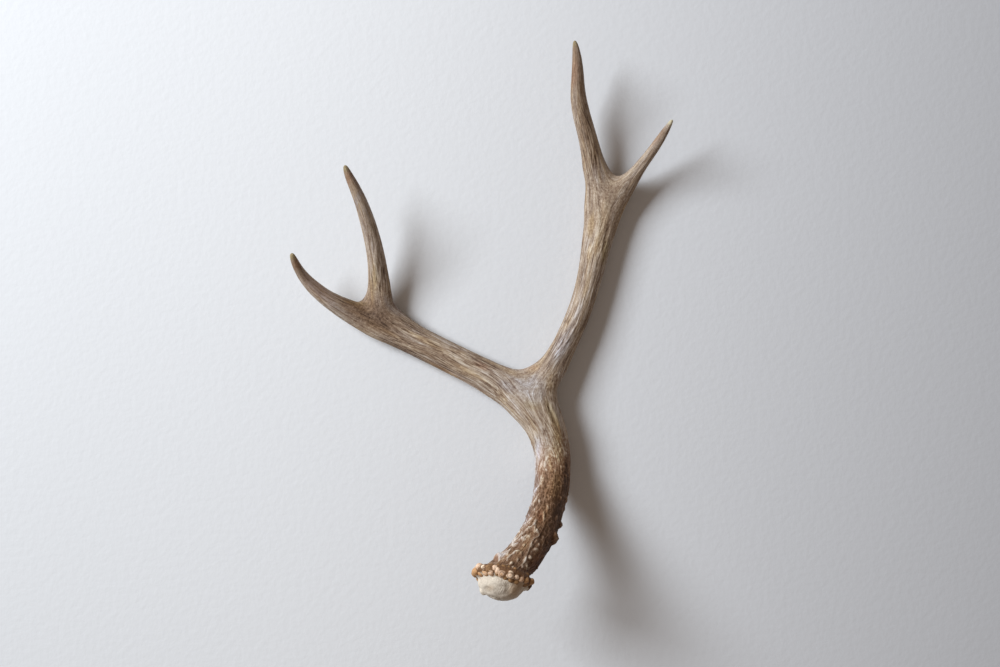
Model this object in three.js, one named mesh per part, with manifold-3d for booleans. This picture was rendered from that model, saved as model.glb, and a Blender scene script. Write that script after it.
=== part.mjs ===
// A shed deer antler: the right antler of a small mule deer, with four points.
// It lies on its outer curve, with the hollow side up and the beam growing along +Y.
// Millimetres, +Z up. The origin is on the floor, under the middle of the antler.
//
// The bone grew in one piece. It is divided at its three forks into the beam with its burr,
// two branches and four tines.

import * as THREE from "three";
import { mergeVertices } from "three/addons/utils/BufferGeometryUtils.js";
import Module from "manifold-3d";

const wasm = await Module();
wasm.setup();

// ---- Driving dimensions ---------------------------------------------------------------

// Stations along each limb in the order of growth: centre x, y, z, then width and thickness.
const BEAM = [
  [17.7, -195.6, 85.0, 26.6, 26.6],
  [25.9, -187.7, 77.0, 27.9, 27.9],
  [35.0, -178.1, 67.0, 26.7, 26.7],
  [43.7, -165.4, 53.5, 26.3, 26.3],
  [50.3, -151.2, 38.8, 26.1, 26.1],
  [53.9, -137.0, 27.3, 26.9, 26.9],
  [55.5, -122.3, 18.3, 27.5, 27.0],
  [55.0, -106.9, 14.1, 28.6, 27.8],
  [51.4, -92.0, 14.3, 30.4, 28.0],
  [45.2, -78.6, 14.8, 34.0, 27.2],
  [38.1, -64.8, 14.6, 45.1, 26.0],
];
const FRONT_BRANCH = [
  [12.0, -53.4, 11.8, 27.3, 20.8],
  [-5.0, -44.3, 10.9, 24.6, 19.6],
  [-22.1, -36.0, 10.3, 23.8, 19.0],
  [-38.8, -27.7, 9.7, 23.8, 18.8],
  [-55.0, -19.4, 9.3, 24.3, 18.7],
  [-67.7, -11.8, 9.5, 27.0, 18.9],
  [-80.7, -3.9, 10.6, 32.6, 18.6],
];
const FRONT_LOWER_TINE = [
  [-105.3, 2.8, 13.5, 17.6, 13.2],
  [-115.2, 8.2, 17.0, 14.3, 12.3],
  [-124.1, 14.2, 21.5, 12.3, 11.3],
  [-132.0, 21.3, 26.5, 10.7, 10.3],
  [-137.8, 27.9, 31.0, 8.9, 8.9],
  [-141.9, 34.5, 36.0, 7.1, 7.1],
  [-144.5, 40.9, 40.5, 5.4, 5.4],
  [-145.9, 45.7, 43.6, 2.3, 2.3],
];
const FRONT_UPPER_TINE = [
  [-80.9, 17.4, 13.8, 18.4, 13.6],
  [-81.9, 34.1, 19.5, 15.3, 13.0],
  [-83.1, 44.9, 24.0, 13.9, 12.5],
  [-84.8, 55.5, 28.8, 13.0, 12.1],
  [-87.2, 66.4, 33.8, 12.0, 11.5],
  [-90.4, 78.4, 39.0, 10.7, 10.5],
  [-94.0, 89.2, 43.5, 9.1, 9.1],
  [-98.6, 99.5, 47.5, 7.2, 7.2],
  [-102.1, 106.8, 50.3, 5.0, 5.0],
  [-104.0, 112.2, 52.3, 2.3, 2.3],
];
const REAR_BRANCH = [
  [56.3, -40.7, 13.0, 22.5, 18.9],
  [64.6, -24.9, 12.0, 19.0, 19.0],
  [72.6, -8.3, 11.2, 18.6, 19.2],
  [79.2, 8.8, 10.4, 18.5, 19.2],
  [84.0, 25.3, 10.0, 19.4, 19.2],
  [88.0, 42.5, 9.8, 21.4, 19.3],
  [90.9, 57.2, 9.8, 23.8, 19.5],
  [94.3, 73.4, 10.2, 27.3, 19.4],
  [97.6, 93.1, 11.0, 35.6, 20.0],
];
const REAR_LONG_TINE = [
  [88.2, 116.4, 15.3, 18.5, 14.4],
  [85.5, 128.6, 18.0, 15.4, 13.6],
  [82.6, 140.1, 20.6, 14.3, 13.4],
  [79.3, 151.1, 23.0, 14.0, 13.6],
  [76.3, 162.0, 26.0, 13.3, 13.3],
  [74.5, 173.1, 29.3, 11.7, 11.7],
  [74.4, 182.0, 32.0, 10.0, 10.0],
  [74.1, 190.7, 34.8, 8.8, 8.8],
  [73.5, 198.8, 37.3, 7.1, 7.1],
  [72.5, 205.3, 39.2, 4.6, 4.6],
  [71.7, 209.7, 40.4, 2.3, 2.3],
];
const REAR_SHORT_TINE = [
  [120.3, 110.6, 17.5, 10.7, 9.1],
  [125.4, 117.6, 21.5, 8.9, 8.3],
  [130.1, 123.7, 25.5, 8.1, 7.9],
  [134.7, 130.2, 30.0, 7.6, 7.6],
  [139.1, 137.0, 35.0, 6.7, 6.7],
  [142.8, 143.1, 39.8, 4.8, 4.8],
  [145.9, 148.3, 43.9, 2.3, 2.3],
];

// The lowest point of the hollow between the two limbs of each fork.
const MAIN_CROTCH = [30.6, -43.3, 12.6];
const FRONT_CROTCH = [-98.6, 10.6, 11.5];
const REAR_CROTCH = [107.1, 107.9, 13.0];

const BEAM_SIDES = 20;
const SADDLE_POINTS = 3;
const RINGS_PER_STATION = 2;
const TINE_RINGS_PER_STATION = 1;
const PIECE_GAP = 0.3;
const TIP_LENGTH = 1.2;

// The burr is a crown of knobs round the base; the seal is the rounded face it broke off at.
const BURR_CENTRE = [17.3, -195.6, 85.0];
const SEAL_DIRECTION = [-0.235, -0.881, 0.41];
const BURR_RADIUS = 20.5;
const BURR_THICKNESS = 8;
const BURR_KNOBS = 22;
const KNOB_RADIUS = 3.6;
const SEAL_RADIUS = 16;
const SEAL_HEIGHT = 15.5;
const SEAL_OFFSET = -1.5;

// Pearls on the side that faces up: place along the beam in stations, degrees from the top
// towards the left side, length, width and height.
const PEARLS = [
  [0.9, 10, 7, 5, 2.2],
  [1.0, -25, 6, 5, 2.4],
  [1.6, -38, 6, 5, 2.2],
  [1.5, 30, 12, 5, 2.4],
  [0.5, 84, 9, 6, 3.2],
  [2.1, -14, 8, 4, 1.8],
  [2.5, 40, 14, 4, 1.6],
  [3.0, -80, 11, 8, 3.4],
  [3.0, -34, 7, 4, 1.6],
  [3.4, 74, 18, 5, 1.6],
  [3.7, -84, 9, 5, 1.8],
  [4.0, 12, 17, 4, 1.2],
  [4.8, -86, 8, 4, 1.6],
  [5.1, -40, 16, 4, 1.1],
  [5.6, 48, 17, 4, 1.1],
];
const HIDDEN_PEARLS = 12;

// ---- Rings and skins ------------------------------------------------------------------

const UP = new THREE.Vector3(0, 0, 1);
const GOLDEN_ANGLE = Math.PI * (3 - Math.sqrt(5));
const radians = THREE.MathUtils.degToRad;
const vector = (xyz) => new THREE.Vector3(...xyz);

/** The long shallow swellings of the bone, as a factor on its radius. */
function swelling(angle, along) {
  const broad = 0.016 * Math.sin(3 * angle + along / 40);
  const narrow = 0.012 * Math.sin(5 * angle - along / 27 + 1);
  return 1 + broad + narrow;
}

/** Sections along a limb, evenly between its stations. Where it forks, the last faces `crotch`. */
function sections(stations, crotch) {
  const path = new THREE.CatmullRomCurve3(stations.map(vector), false, "catmullrom", 0.5);
  const sizes = stations.map(([, , , width, thickness]) => new THREE.Vector3(width, thickness, 0));
  const sizePath = new THREE.CatmullRomCurve3(sizes, false, "catmullrom", 0.5);
  const count = (stations.length - 1) * (crotch ? RINGS_PER_STATION : TINE_RINGS_PER_STATION);
  const made = [];
  let along = 0;
  for (let i = 0; i <= count; i++) {
    const centre = path.getPoint(i / count);
    const size = sizePath.getPoint(i / count);
    if (i > 0) along += centre.distanceTo(made[i - 1].centre);
    const heading = path.getTangent(i / count);
    made.push({ centre, heading, width: size.x, thickness: size.y, along });
  }
  if (crotch) made[count].heading = vector(crotch).sub(made[count].centre).normalize();
  return made;
}

/** The directions across a section (to the right of the growth) and up out of its plane. */
function axesOf(section) {
  const rise = UP.clone().addScaledVector(section.heading, -UP.dot(section.heading)).normalize();
  const across = new THREE.Vector3().crossVectors(section.heading, rise);
  return { rise, across };
}

/** A point of the skin: `angle` runs from the top over the left side to the underside. */
function skinPoint(section, angle) {
  const { rise, across } = axesOf(section);
  const factor = swelling(angle, section.along) / 2;
  return section.centre
    .clone()
    .addScaledVector(rise, Math.cos(angle) * section.thickness * factor)
    .addScaledVector(across, -Math.sin(angle) * section.width * factor);
}

function ringOf(section, sides, phase) {
  const step = (2 * Math.PI) / sides;
  return Array.from({ length: sides }, (_, k) => skinPoint(section, phase + k * step));
}

/** A closed surface that is built up ring by ring. */
class Skin {
  points = [];
  faces = [];

  add(ring) {
    const first = this.points.length;
    this.points.push(...ring);
    return ring.map((_, i) => first + i);
  }

  /** A band of triangles between two rings of equal length. */
  band(near, far) {
    near.forEach((_, i) => {
      const next = (i + 1) % near.length;
      this.faces.push([near[i], far[i], far[next]], [near[i], far[next], near[next]]);
    });
  }

  /** A fan that closes the skin at its start. */
  closeStart(ring, apex) {
    const [tip] = this.add([apex]);
    ring.forEach((point, i) => this.faces.push([tip, point, ring[(i + 1) % ring.length]]));
  }

  /** A fan that closes the skin at its end. */
  closeEnd(ring, apex) {
    const [tip] = this.add([apex]);
    ring.forEach((point, i) => this.faces.push([tip, ring[(i + 1) % ring.length], point]));
  }

  geometry() {
    const flat = this.points.flatMap((point) => point.toArray());
    const made = new THREE.BufferGeometry();
    made.setAttribute("position", new THREE.Float32BufferAttribute(flat, 3));
    return made.setIndex(this.faces.flat());
  }
}

// ---- Limbs and forks ------------------------------------------------------------------

/** Where a limb's ring starts, so that the middle of the saddle meets its inner side. */
function phaseAfterFork(side, parentSides, sides) {
  const step = (2 * Math.PI) / sides;
  const middle = (SADDLE_POINTS + 1) / 2;
  return side === "left" ? -Math.PI / 2 - (parentSides / 2 + middle) * step : Math.PI / 2 - middle * step;
}

/**
 * Splits the last ring of a limb in two over a rounded saddle, and closes both legs with
 * the first ring of the next limb.
 */
function fork(skin, section, ring, crotch, left, right) {
  const { rise } = axesOf(section);
  const half = ring.length / 2;
  const reach = vector(crotch).sub(section.centre);
  const saddle = skin.add(
    Array.from({ length: SADDLE_POINTS }, (_, i) => {
      const turn = Math.PI * (0.5 - (i + 1) / (SADDLE_POINTS + 1));
      return section.centre
        .clone()
        .addScaledVector(reach, Math.cos(turn))
        .addScaledVector(rise, (Math.sin(turn) * section.thickness) / 2);
    }),
  );
  const leftLeg = [...ring.slice(0, half + 1), ...saddle.toReversed()];
  const rightLeg = [ring[0], ...saddle, ...ring.slice(half)];
  for (const [leg, limb] of [
    [leftLeg, left],
    [rightLeg, right],
  ]) {
    const end = skin.add(limb.firstRing);
    skin.band(leg, end);
    skin.closeEnd(end, limb.sections[0].centre);
  }
}

/** A limb's sections, with the number of sides and the start angle of each ring. */
function planLimb(stations, parentSides, side, crotch) {
  const sides = parentSides / 2 + 1 + SADDLE_POINTS;
  const step = (2 * Math.PI) / sides;
  const phase = phaseAfterFork(side, parentSides, sides);
  // A limb that forks again turns by half a side, so that one point comes to lie on top.
  const turn = crotch ? (side === "left" ? step / 2 : -step / 2) : 0;
  const made = sections(stations, crotch);
  const rings = made.map((section, i) => ringOf(section, sides, phase + (turn * i) / (made.length - 1)));
  return { sides, sections: made, rings, firstRing: rings[0], top: side === "left" ? 1 : sides - 1 };
}

/** The skin of a limb up to its last ring, starting a gap after the fork that carries it. */
function startLimb(limb) {
  const skin = new Skin();
  const { heading, centre } = limb.sections[0];
  const shift = heading.clone().multiplyScalar(PIECE_GAP);
  const rings = limb.rings.map((ring, i) => (i ? ring : ring.map((point) => point.clone().add(shift))));
  const numbered = rings.map((ring) => skin.add(ring));
  numbered.slice(1).forEach((ring, i) => skin.band(numbered[i], ring));
  skin.closeStart(numbered[0], centre.clone().add(shift));
  return { skin, last: numbered.at(-1) };
}

function branch(limb, crotch, left, right) {
  const { skin, last } = startLimb(limb);
  const fromTop = [...last.slice(limb.top), ...last.slice(0, limb.top)];
  fork(skin, limb.sections.at(-1), fromTop, crotch, left, right);
  return skin.geometry();
}

function tine(limb) {
  const { skin, last } = startLimb(limb);
  const { centre, heading } = limb.sections.at(-1);
  skin.closeEnd(last, centre.clone().addScaledVector(heading, TIP_LENGTH));
  return skin.geometry();
}

// ---- Burr, seal and pearls ------------------------------------------------------------

function solidOf(geometry) {
  const bare = geometry.clone();
  bare.deleteAttribute("normal");
  bare.deleteAttribute("uv");
  const merged = mergeVertices(bare, 1e-4);
  const mesh = { numProp: 3, vertProperties: merged.attributes.position.array, triVerts: merged.index.array };
  return new wasm.Manifold(new wasm.Mesh(mesh));
}

function geometryOf(solid) {
  const { vertProperties, triVerts } = solid.getMesh();
  const made = new THREE.BufferGeometry();
  made.setAttribute("position", new THREE.Float32BufferAttribute(vertProperties, 3));
  return made.setIndex([...triVerts]);
}

/** A rounded lump with its height along `normal` and its length along `run`. */
function lump(centre, normal, run, [length, width, height], detail = 1) {
  const side = new THREE.Vector3().crossVectors(normal, run).normalize();
  const front = new THREE.Vector3().crossVectors(side, normal).normalize();
  const frame = new THREE.Matrix4().makeBasis(front, side, normal).setPosition(centre);
  const shape = new THREE.IcosahedronGeometry(1, detail);
  return shape.scale(length / 2, width / 2, height).applyMatrix4(frame);
}

const sealAxis = vector(SEAL_DIRECTION).normalize();
const burrRight = new THREE.Vector3().crossVectors(UP, sealAxis).negate().normalize();
const burrUp = new THREE.Vector3().crossVectors(sealAxis, burrRight).normalize();

/** A direction in the plane of the burr. */
const roundBurr = (angle) =>
  burrRight.clone().multiplyScalar(Math.cos(angle)).addScaledVector(burrUp, Math.sin(angle));

function burrPieces() {
  const centre = vector(BURR_CENTRE);
  const plate = lump(centre, sealAxis, burrRight, [2 * BURR_RADIUS, 2 * BURR_RADIUS, BURR_THICKNESS / 2], 2);
  const knobs = Array.from({ length: BURR_KNOBS }, (_, i) => {
    const angle = (2 * Math.PI * (i + 0.3 * Math.sin(3.7 * i))) / BURR_KNOBS;
    const outward = roundBurr(angle);
    const size = KNOB_RADIUS * (1 + 0.25 * Math.sin(2.1 * i + 1));
    const place = centre
      .clone()
      .addScaledVector(outward, BURR_RADIUS - 0.6)
      .addScaledVector(sealAxis, 1.3 * Math.sin(1.7 * i));
    return lump(place, outward, sealAxis, [2.3 * size, 2.1 * size, 0.95 * size]);
  });
  return [plate, ...knobs];
}

function sealPieces() {
  const foot = vector(BURR_CENTRE).addScaledVector(burrRight, SEAL_OFFSET);
  const dome = lump(foot, sealAxis, burrRight, [2 * SEAL_RADIUS, 2 * SEAL_RADIUS, SEAL_HEIGHT], 2);
  const bulge = foot.clone().addScaledVector(burrRight, -5.5).addScaledVector(sealAxis, 4);
  return [dome, lump(bulge, sealAxis, burrRight, [18, 22, 10], 1)];
}

function pearlPieces(beamSections) {
  const placed = PEARLS.map(([at, degrees, ...size]) => [at, radians(degrees), size]);
  for (let i = 0; i < HIDDEN_PEARLS; i++) {
    const size = 6 - (2.5 * i) / HIDDEN_PEARLS;
    const around = Math.PI + 1.2 * Math.sin(i * GOLDEN_ANGLE);
    placed.push([0.8 + (4 * i) / HIDDEN_PEARLS, around, [1.5 * size, size, 0.36 * size]]);
  }
  return placed.map(([at, angle, size]) => {
    const section = beamSections[Math.round(at * RINGS_PER_STATION)];
    const point = skinPoint(section, angle);
    const normal = point.clone().sub(section.centre).normalize();
    return lump(point, normal, section.heading, size);
  });
}

// ---- Assembly -------------------------------------------------------------------------

const front = planLimb(FRONT_BRANCH, BEAM_SIDES, "left", FRONT_CROTCH);
const rear = planLimb(REAR_BRANCH, BEAM_SIDES, "right", REAR_CROTCH);
const frontLower = planLimb(FRONT_LOWER_TINE, front.sides, "left");
const frontUpper = planLimb(FRONT_UPPER_TINE, front.sides, "right");
const rearLong = planLimb(REAR_LONG_TINE, rear.sides, "left");
const rearShort = planLimb(REAR_SHORT_TINE, rear.sides, "right");

function lowerBeam() {
  const skin = new Skin();
  const beam = sections(BEAM, MAIN_CROTCH);
  const rings = beam.map((section) => skin.add(ringOf(section, BEAM_SIDES, 0)));
  rings.slice(1).forEach((ring, i) => skin.band(rings[i], ring));
  skin.closeStart(rings[0], beam[0].centre);
  fork(skin, beam.at(-1), rings.at(-1), MAIN_CROTCH, front, rear);
  const lumps = [...burrPieces(), ...sealPieces(), ...pearlPieces(beam)];
  return geometryOf(lumps.map(solidOf).reduce((whole, piece) => whole.add(piece), solidOf(skin.geometry())));
}

const DARK_BEAM = { color: 0x6f5542, roughness: 0.62 };
const GREY_TAN = { color: 0x948069, roughness: 0.58 };
const SMOOTH_TINE = { color: 0x86725f, roughness: 0.5 };

const antler = new THREE.Group();

function addPiece(name, geometry, finish) {
  const mesh = new THREE.Mesh(geometry, new THREE.MeshStandardMaterial({ ...finish, metalness: 0 }));
  mesh.name = name;
  antler.add(mesh);
}

addPiece("lower_beam", lowerBeam(), DARK_BEAM);
addPiece("front_branch", branch(front, FRONT_CROTCH, frontLower, frontUpper), GREY_TAN);
addPiece("front_lower_tine", tine(frontLower), SMOOTH_TINE);
addPiece("front_upper_tine", tine(frontUpper), SMOOTH_TINE);
addPiece("rear_branch", branch(rear, REAR_CROTCH, rearLong, rearShort), GREY_TAN);
addPiece("rear_long_tine", tine(rearLong), SMOOTH_TINE);
addPiece("rear_short_tine", tine(rearShort), SMOOTH_TINE);

export default antler;
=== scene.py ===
"""A shed deer antler: the right antler of a small mule deer, lying on its outer curve."""

import math

import bpy
import numpy as np
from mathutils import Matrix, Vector, noise


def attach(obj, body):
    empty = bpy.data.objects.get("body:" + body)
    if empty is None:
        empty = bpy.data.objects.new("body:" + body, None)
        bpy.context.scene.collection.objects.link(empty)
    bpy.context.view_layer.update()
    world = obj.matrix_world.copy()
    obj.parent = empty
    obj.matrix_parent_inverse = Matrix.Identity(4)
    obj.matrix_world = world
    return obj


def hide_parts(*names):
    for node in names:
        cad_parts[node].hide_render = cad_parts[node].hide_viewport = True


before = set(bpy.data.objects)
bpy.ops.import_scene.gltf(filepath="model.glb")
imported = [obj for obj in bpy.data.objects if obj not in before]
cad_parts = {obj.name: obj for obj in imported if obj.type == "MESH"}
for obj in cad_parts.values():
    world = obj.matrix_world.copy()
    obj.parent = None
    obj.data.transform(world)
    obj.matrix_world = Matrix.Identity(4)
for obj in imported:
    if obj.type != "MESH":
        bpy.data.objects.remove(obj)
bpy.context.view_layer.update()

# ---- Camera, light and floor -------------------------------------------------------------
# The camera hangs over the antler and looks straight down. A wide window on the left gives
# the light, and a pale matt board lies under the antler.

camera = bpy.data.objects.new("camera", bpy.data.cameras.new("camera"))
camera.data.lens = 50
camera.data.sensor_width = 36
camera.location = (0.014, -0.015, 1.111)
bpy.context.collection.objects.link(camera)
bpy.context.scene.camera = camera
bpy.context.scene.view_settings.view_transform = "Standard"


def area_light(name, place, target, size, power, color):
    lamp = bpy.data.lights.new(name, "AREA")
    lamp.shape = "RECTANGLE"
    lamp.size, lamp.size_y = size
    lamp.energy = power
    lamp.color = color
    made = bpy.data.objects.new(name, lamp)
    made.location = place
    made.rotation_euler = (Vector(target) - Vector(place)).to_track_quat("-Z", "Y").to_euler()
    bpy.context.collection.objects.link(made)


area_light("window", (-1.65, 0.85, 1.31), (-0.7, 0.2, 0), (0.94, 1.0), 75, (0.86, 0.925, 1.0))

world = bpy.data.worlds.new("room")
world.use_nodes = True
world.node_tree.nodes["Background"].inputs["Color"].default_value = (1.0, 0.82, 0.69, 1)
world.node_tree.nodes["Background"].inputs["Strength"].default_value = 0.21
bpy.context.scene.world = world

# The board's colour from left to right, in metres: painted falloff of the light, darker away from the
# middle and cooler on the right.
BOARD_FALLOFF_TONES = [
    [-0.40, (0.67, 0.67, 0.67)],
    [-0.20, (0.755, 0.755, 0.755)],
    [0.00, (0.78, 0.78, 0.78)],
    [0.24, (0.70, 0.705, 0.72)],
    [0.50, (0.57, 0.58, 0.60)],
]
BOARD_REACH = 0.5
board = bpy.data.materials.new("board")
board.use_nodes = True
board_shader = board.node_tree.nodes["Principled BSDF"]
board_shader.inputs["Roughness"].default_value = 0.8
board_place = board.node_tree.nodes.new("ShaderNodeTexCoord")
board_sides = board.node_tree.nodes.new("ShaderNodeSeparateXYZ")
board_run = board.node_tree.nodes.new("ShaderNodeMapRange")
board_run.inputs["From Min"].default_value = -BOARD_REACH
board_run.inputs["From Max"].default_value = BOARD_REACH
board_falloff = board.node_tree.nodes.new("ShaderNodeValToRGB")
board_falloff.color_ramp.interpolation = "B_SPLINE"
for tone_index, (x, color) in enumerate(BOARD_FALLOFF_TONES):
    position = (x + BOARD_REACH) / (2 * BOARD_REACH)
    if tone_index < 2:
        stop = board_falloff.color_ramp.elements[tone_index]
        stop.position = position
    else:
        stop = board_falloff.color_ramp.elements.new(position)
    stop.color = (*color, 1)
board.node_tree.links.new(board_place.outputs["Object"], board_sides.inputs["Vector"])
board.node_tree.links.new(board_sides.outputs["X"], board_run.inputs["Value"])
board.node_tree.links.new(board_run.outputs["Result"], board_falloff.inputs["Fac"])
board.node_tree.links.new(board_falloff.outputs["Color"], board_shader.inputs["Base Color"])
plaster = board.node_tree.nodes.new("ShaderNodeTexNoise")
plaster.inputs["Scale"].default_value = 190
plaster.inputs["Detail"].default_value = 3
stipple = board.node_tree.nodes.new("ShaderNodeBump")
stipple.inputs["Strength"].default_value = 0.2
stipple.inputs["Distance"].default_value = 0.001
board.node_tree.links.new(board_place.outputs["Object"], plaster.inputs["Vector"])
board.node_tree.links.new(plaster.outputs["Fac"], stipple.inputs["Height"])
board.node_tree.links.new(stipple.outputs["Normal"], board_shader.inputs["Normal"])

bpy.ops.mesh.primitive_plane_add(size=6)
floor = bpy.context.object
floor.name = "floor"
floor.data.materials.append(board)

# ---- Lower beam with its seal and burr ---------------------------------------------------
# The oldest and thickest bone of the antler, from the domed seal where it came off the
# skull, over the knobby rim called the burr, to the main fork. It is laid as rings of
# points, each joined to the ring before it.

# Stations in mm in the order of growth: centre x, y, z, then width and thickness.
BEAM = [
    [17.7, -195.6, 85.0, 26.6, 26.6],
    [25.9, -187.7, 77.0, 27.9, 27.9],
    [35.0, -178.1, 67.0, 26.7, 26.7],
    [43.7, -165.4, 53.5, 26.3, 26.3],
    [50.3, -151.2, 38.8, 26.1, 26.1],
    [53.9, -137.0, 27.3, 26.9, 26.9],
    [55.5, -122.3, 18.3, 27.5, 27.0],
    [55.0, -106.9, 14.1, 28.6, 27.8],
    [51.4, -92.0, 14.3, 30.4, 28.0],
    [45.2, -78.6, 14.8, 34.0, 27.2],
    [38.1, -64.8, 14.6, 45.1, 26.0],
]
BEAM_SIDES = 20
RINGS_PER_STATION = 2
MAIN_CROTCH = np.array([30.6, -43.3, 12.6])
SADDLE_POINTS = 3

# The base, from the pole of the seal over the burr to the foot of the beam: radius, height
# along the axis of the seal, shift to the right, and how much further both sides reach.
# The pole has its own height, and lies SEAL_CAP of growth before the first ring.
BURR_CENTRE = np.array([16.2, -195.3, 85.0])
SEAL_AXIS = np.array([-0.235, -0.881, 0.41])
SEAL_POLE = 16.8
SEAL_CAP = 5
BASE_PROFILE = [
    [5.0, 16.3, -0.6, 0],
    [10.0, 14.9, -0.6, 0],
    [14.4, 11.4, -0.2, 0],
    [16.6, 7.4, 0.2, 0],
    [17.0, 4.6, 0.4, 0],
    [19.8, 3.6, 0.2, 0.7],
    [21.8, 1.4, 0, 1.2],
    [21.8, -1.6, 0, 1.2],
    [19.2, -3.8, 0.8, 0.7],
    [15.2, -5.4, 1.8, 0],
]
FIRST_BEAM_RING = 3

# Half the width of the grain, which is measured across a limb as if it were this thick all
# along, and the longest way to a tip that still changes the look of the bone.
GRAIN_RADIUS = 13.5
TIP_REACH = 60


def unit(vectors):
    return vectors / np.linalg.norm(vectors, axis=-1, keepdims=True)


def sections(stations, per_station, crotch=None):
    """Centres, headings, sizes and distances of the rings along a limb."""
    p = np.array(stations)
    count = (len(p) - 1) * per_station
    at = np.linspace(0, len(p) - 1, count + 1)
    i = np.minimum(at.astype(int), len(p) - 2)
    w = (at - i)[:, None]
    p = np.vstack([2 * p[0] - p[1], p, 2 * p[-1] - p[-2]])
    before, near, far, after = p[i], p[i + 1], p[i + 2], p[i + 3]
    out, back = (far - before) / 2, (after - near) / 2
    square, cube = 3 * (far - near) - 2 * out - back, 2 * (near - far) + out + back
    values = near + out * w + square * w**2 + cube * w**3
    heading = unit((out + 2 * square * w + 3 * cube * w**2)[:, :3])
    centre = values[:, :3]
    if crotch is not None:
        heading[-1] = unit(crotch - centre[-1])
    steps = np.linalg.norm(np.diff(centre, axis=0), axis=1)
    return {
        "centre": centre,
        "heading": heading,
        "size": values[:, 3:],
        "along": np.concatenate([[0], np.cumsum(steps)]),
    }


def ring_directions(heading):
    """Unit directions across a limb: up out of it, and to the right of its growth."""
    up = np.array([0.0, 0.0, 1.0])
    rise = unit(up - heading * heading[2])
    across = np.cross(heading, rise)
    return rise, across


def ring_points(limb, index, angles):
    """A ring of points. The angles run from the top over the left side."""
    heading, along = limb["heading"][index], limb["along"][index]
    rise, across = ring_directions(heading)
    width, thickness = limb["size"][index]
    sides = len(angles)
    shrink = (4 + 2 * math.cos(2 * math.pi / sides)) / 6
    swelling = 1 + 0.016 * np.sin(3 * angles + along / 40) + 0.012 * np.sin(5 * angles - along / 27 + 1)
    factor = (swelling / 2 / shrink)[:, None]
    return (
        limb["centre"][index]
        + rise * np.cos(angles)[:, None] * thickness * factor
        - across * np.sin(angles)[:, None] * width * factor
    )


class Cage:
    """The coarse skin. Each point has its place, and its grain: two numbers across the
    limb that stay the same along a limb, the growth along it, and how far the tip is."""

    def __init__(self):
        self.points, self.grain, self.tip, self.faces = [], [], [], []

    def add(self, points, across, growth, tip):
        first = len(self.points)
        self.points.extend(points)
        self.grain.extend([*a, g] for a, g in zip(across, np.broadcast_to(growth, len(points))))
        self.tip.extend([min(tip, TIP_REACH)] * len(points))
        return list(range(first, len(self.points)))

    def band(self, near, far):
        for i in range(len(near)):
            j = (i + 1) % len(near)
            self.faces.append((near[i], far[i], far[j], near[j]))

    def close(self, ring, apex, at_start):
        for i in range(len(ring)):
            j = (i + 1) % len(ring)
            self.faces.append((apex, ring[i], ring[j]) if at_start else (apex, ring[j], ring[i]))


cage = Cage()


def split(end, limb, crotch):
    """Spans a rounded saddle between the top and the underside of the last ring."""
    ring = end["ring"]
    half = len(ring) // 2
    heading, centre = limb["heading"][-1], limb["centre"][-1]
    rise, _ = ring_directions(heading)
    reach = crotch - centre
    turns = math.pi * (0.5 - np.arange(1, SADDLE_POINTS + 1) / (SADDLE_POINTS + 1))
    points = (
        centre
        + np.cos(turns)[:, None] * reach
        + np.sin(turns)[:, None] * rise * limb["size"][-1][1] / 2
    )
    top, bottom = (np.array(cage.grain[ring[i]][:2]) for i in (0, half))
    share = (np.arange(1, SADDLE_POINTS + 1) / (SADDLE_POINTS + 1))[:, None]
    growth = end["growth"] + np.cos(turns) * np.linalg.norm(reach)
    saddle = cage.add(points, top * (1 - share) + bottom * share, growth, TIP_REACH)
    end["legs"] = {
        "left": ring[: half + 1] + saddle[::-1],
        "right": [ring[0]] + saddle + ring[half:],
    }
    return end


beam = sections(BEAM, RINGS_PER_STATION, MAIN_CROTCH)
angles = 2 * math.pi * np.arange(BEAM_SIDES) / BEAM_SIDES
columns = GRAIN_RADIUS * np.stack([-np.sin(angles), np.cos(angles)], axis=1)
seal_axis = unit(SEAL_AXIS)
left_of_burr = unit(np.cross(seal_axis, [0, 0, 1.0]))
top_of_burr = np.cross(left_of_burr, seal_axis)
if top_of_burr[2] < 0:
    top_of_burr = -top_of_burr

rise, across = ring_directions(beam["heading"][FIRST_BEAM_RING])
outward = rise * np.cos(angles)[:, None] - across * np.sin(angles)[:, None]
outward = unit(outward - (outward @ seal_axis)[:, None] * seal_axis)
first_beam_points = ring_points(beam, FIRST_BEAM_RING, angles)

base_rings = []
for radius, height, shift, widening in BASE_PROFILE:
    aside = (outward @ left_of_burr)[:, None] * widening - shift
    base_rings.append(BURR_CENTRE + seal_axis * height + outward * radius + left_of_burr * aside)
for share in (1 / 3, 2 / 3):
    base_rings.append(base_rings[len(BASE_PROFILE) - 1] * (1 - share) + first_beam_points * share)
travel = [0.0]
for near, far in zip(base_rings, base_rings[1:] + [first_beam_points]):
    travel.append(travel[-1] + np.linalg.norm(far - near, axis=1).mean())
ring = None
for points, growth in zip(base_rings, np.array(travel) - travel[-1] + beam["along"][FIRST_BEAM_RING]):
    added = cage.add(points, columns, growth, TIP_REACH)
    if ring:
        cage.band(ring, added)
    else:
        pole = BURR_CENTRE + seal_axis * SEAL_POLE - left_of_burr * BASE_PROFILE[0][2]
        apex = cage.add([pole], [[0, 0]], growth - SEAL_CAP, TIP_REACH)[0]
        cage.close(added, apex, at_start=True)
    ring = added
for i in range(FIRST_BEAM_RING, len(beam["along"])):
    added = cage.add(ring_points(beam, i, angles), columns, beam["along"][i], TIP_REACH)
    cage.band(ring, added)
    ring = added
main_end = {"growth": beam["along"][-1], "centre": beam["centre"][-1], "ring": ring}
main_end = split(main_end, beam, MAIN_CROTCH)

# ---- Branches and tines ------------------------------------------------------------------
# The main fork ends in a front and a rear branch, and each of these forks again into two
# tines of dense, smooth bone with blunt points. Every limb goes on from the leg that the
# fork before it has left open.

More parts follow.
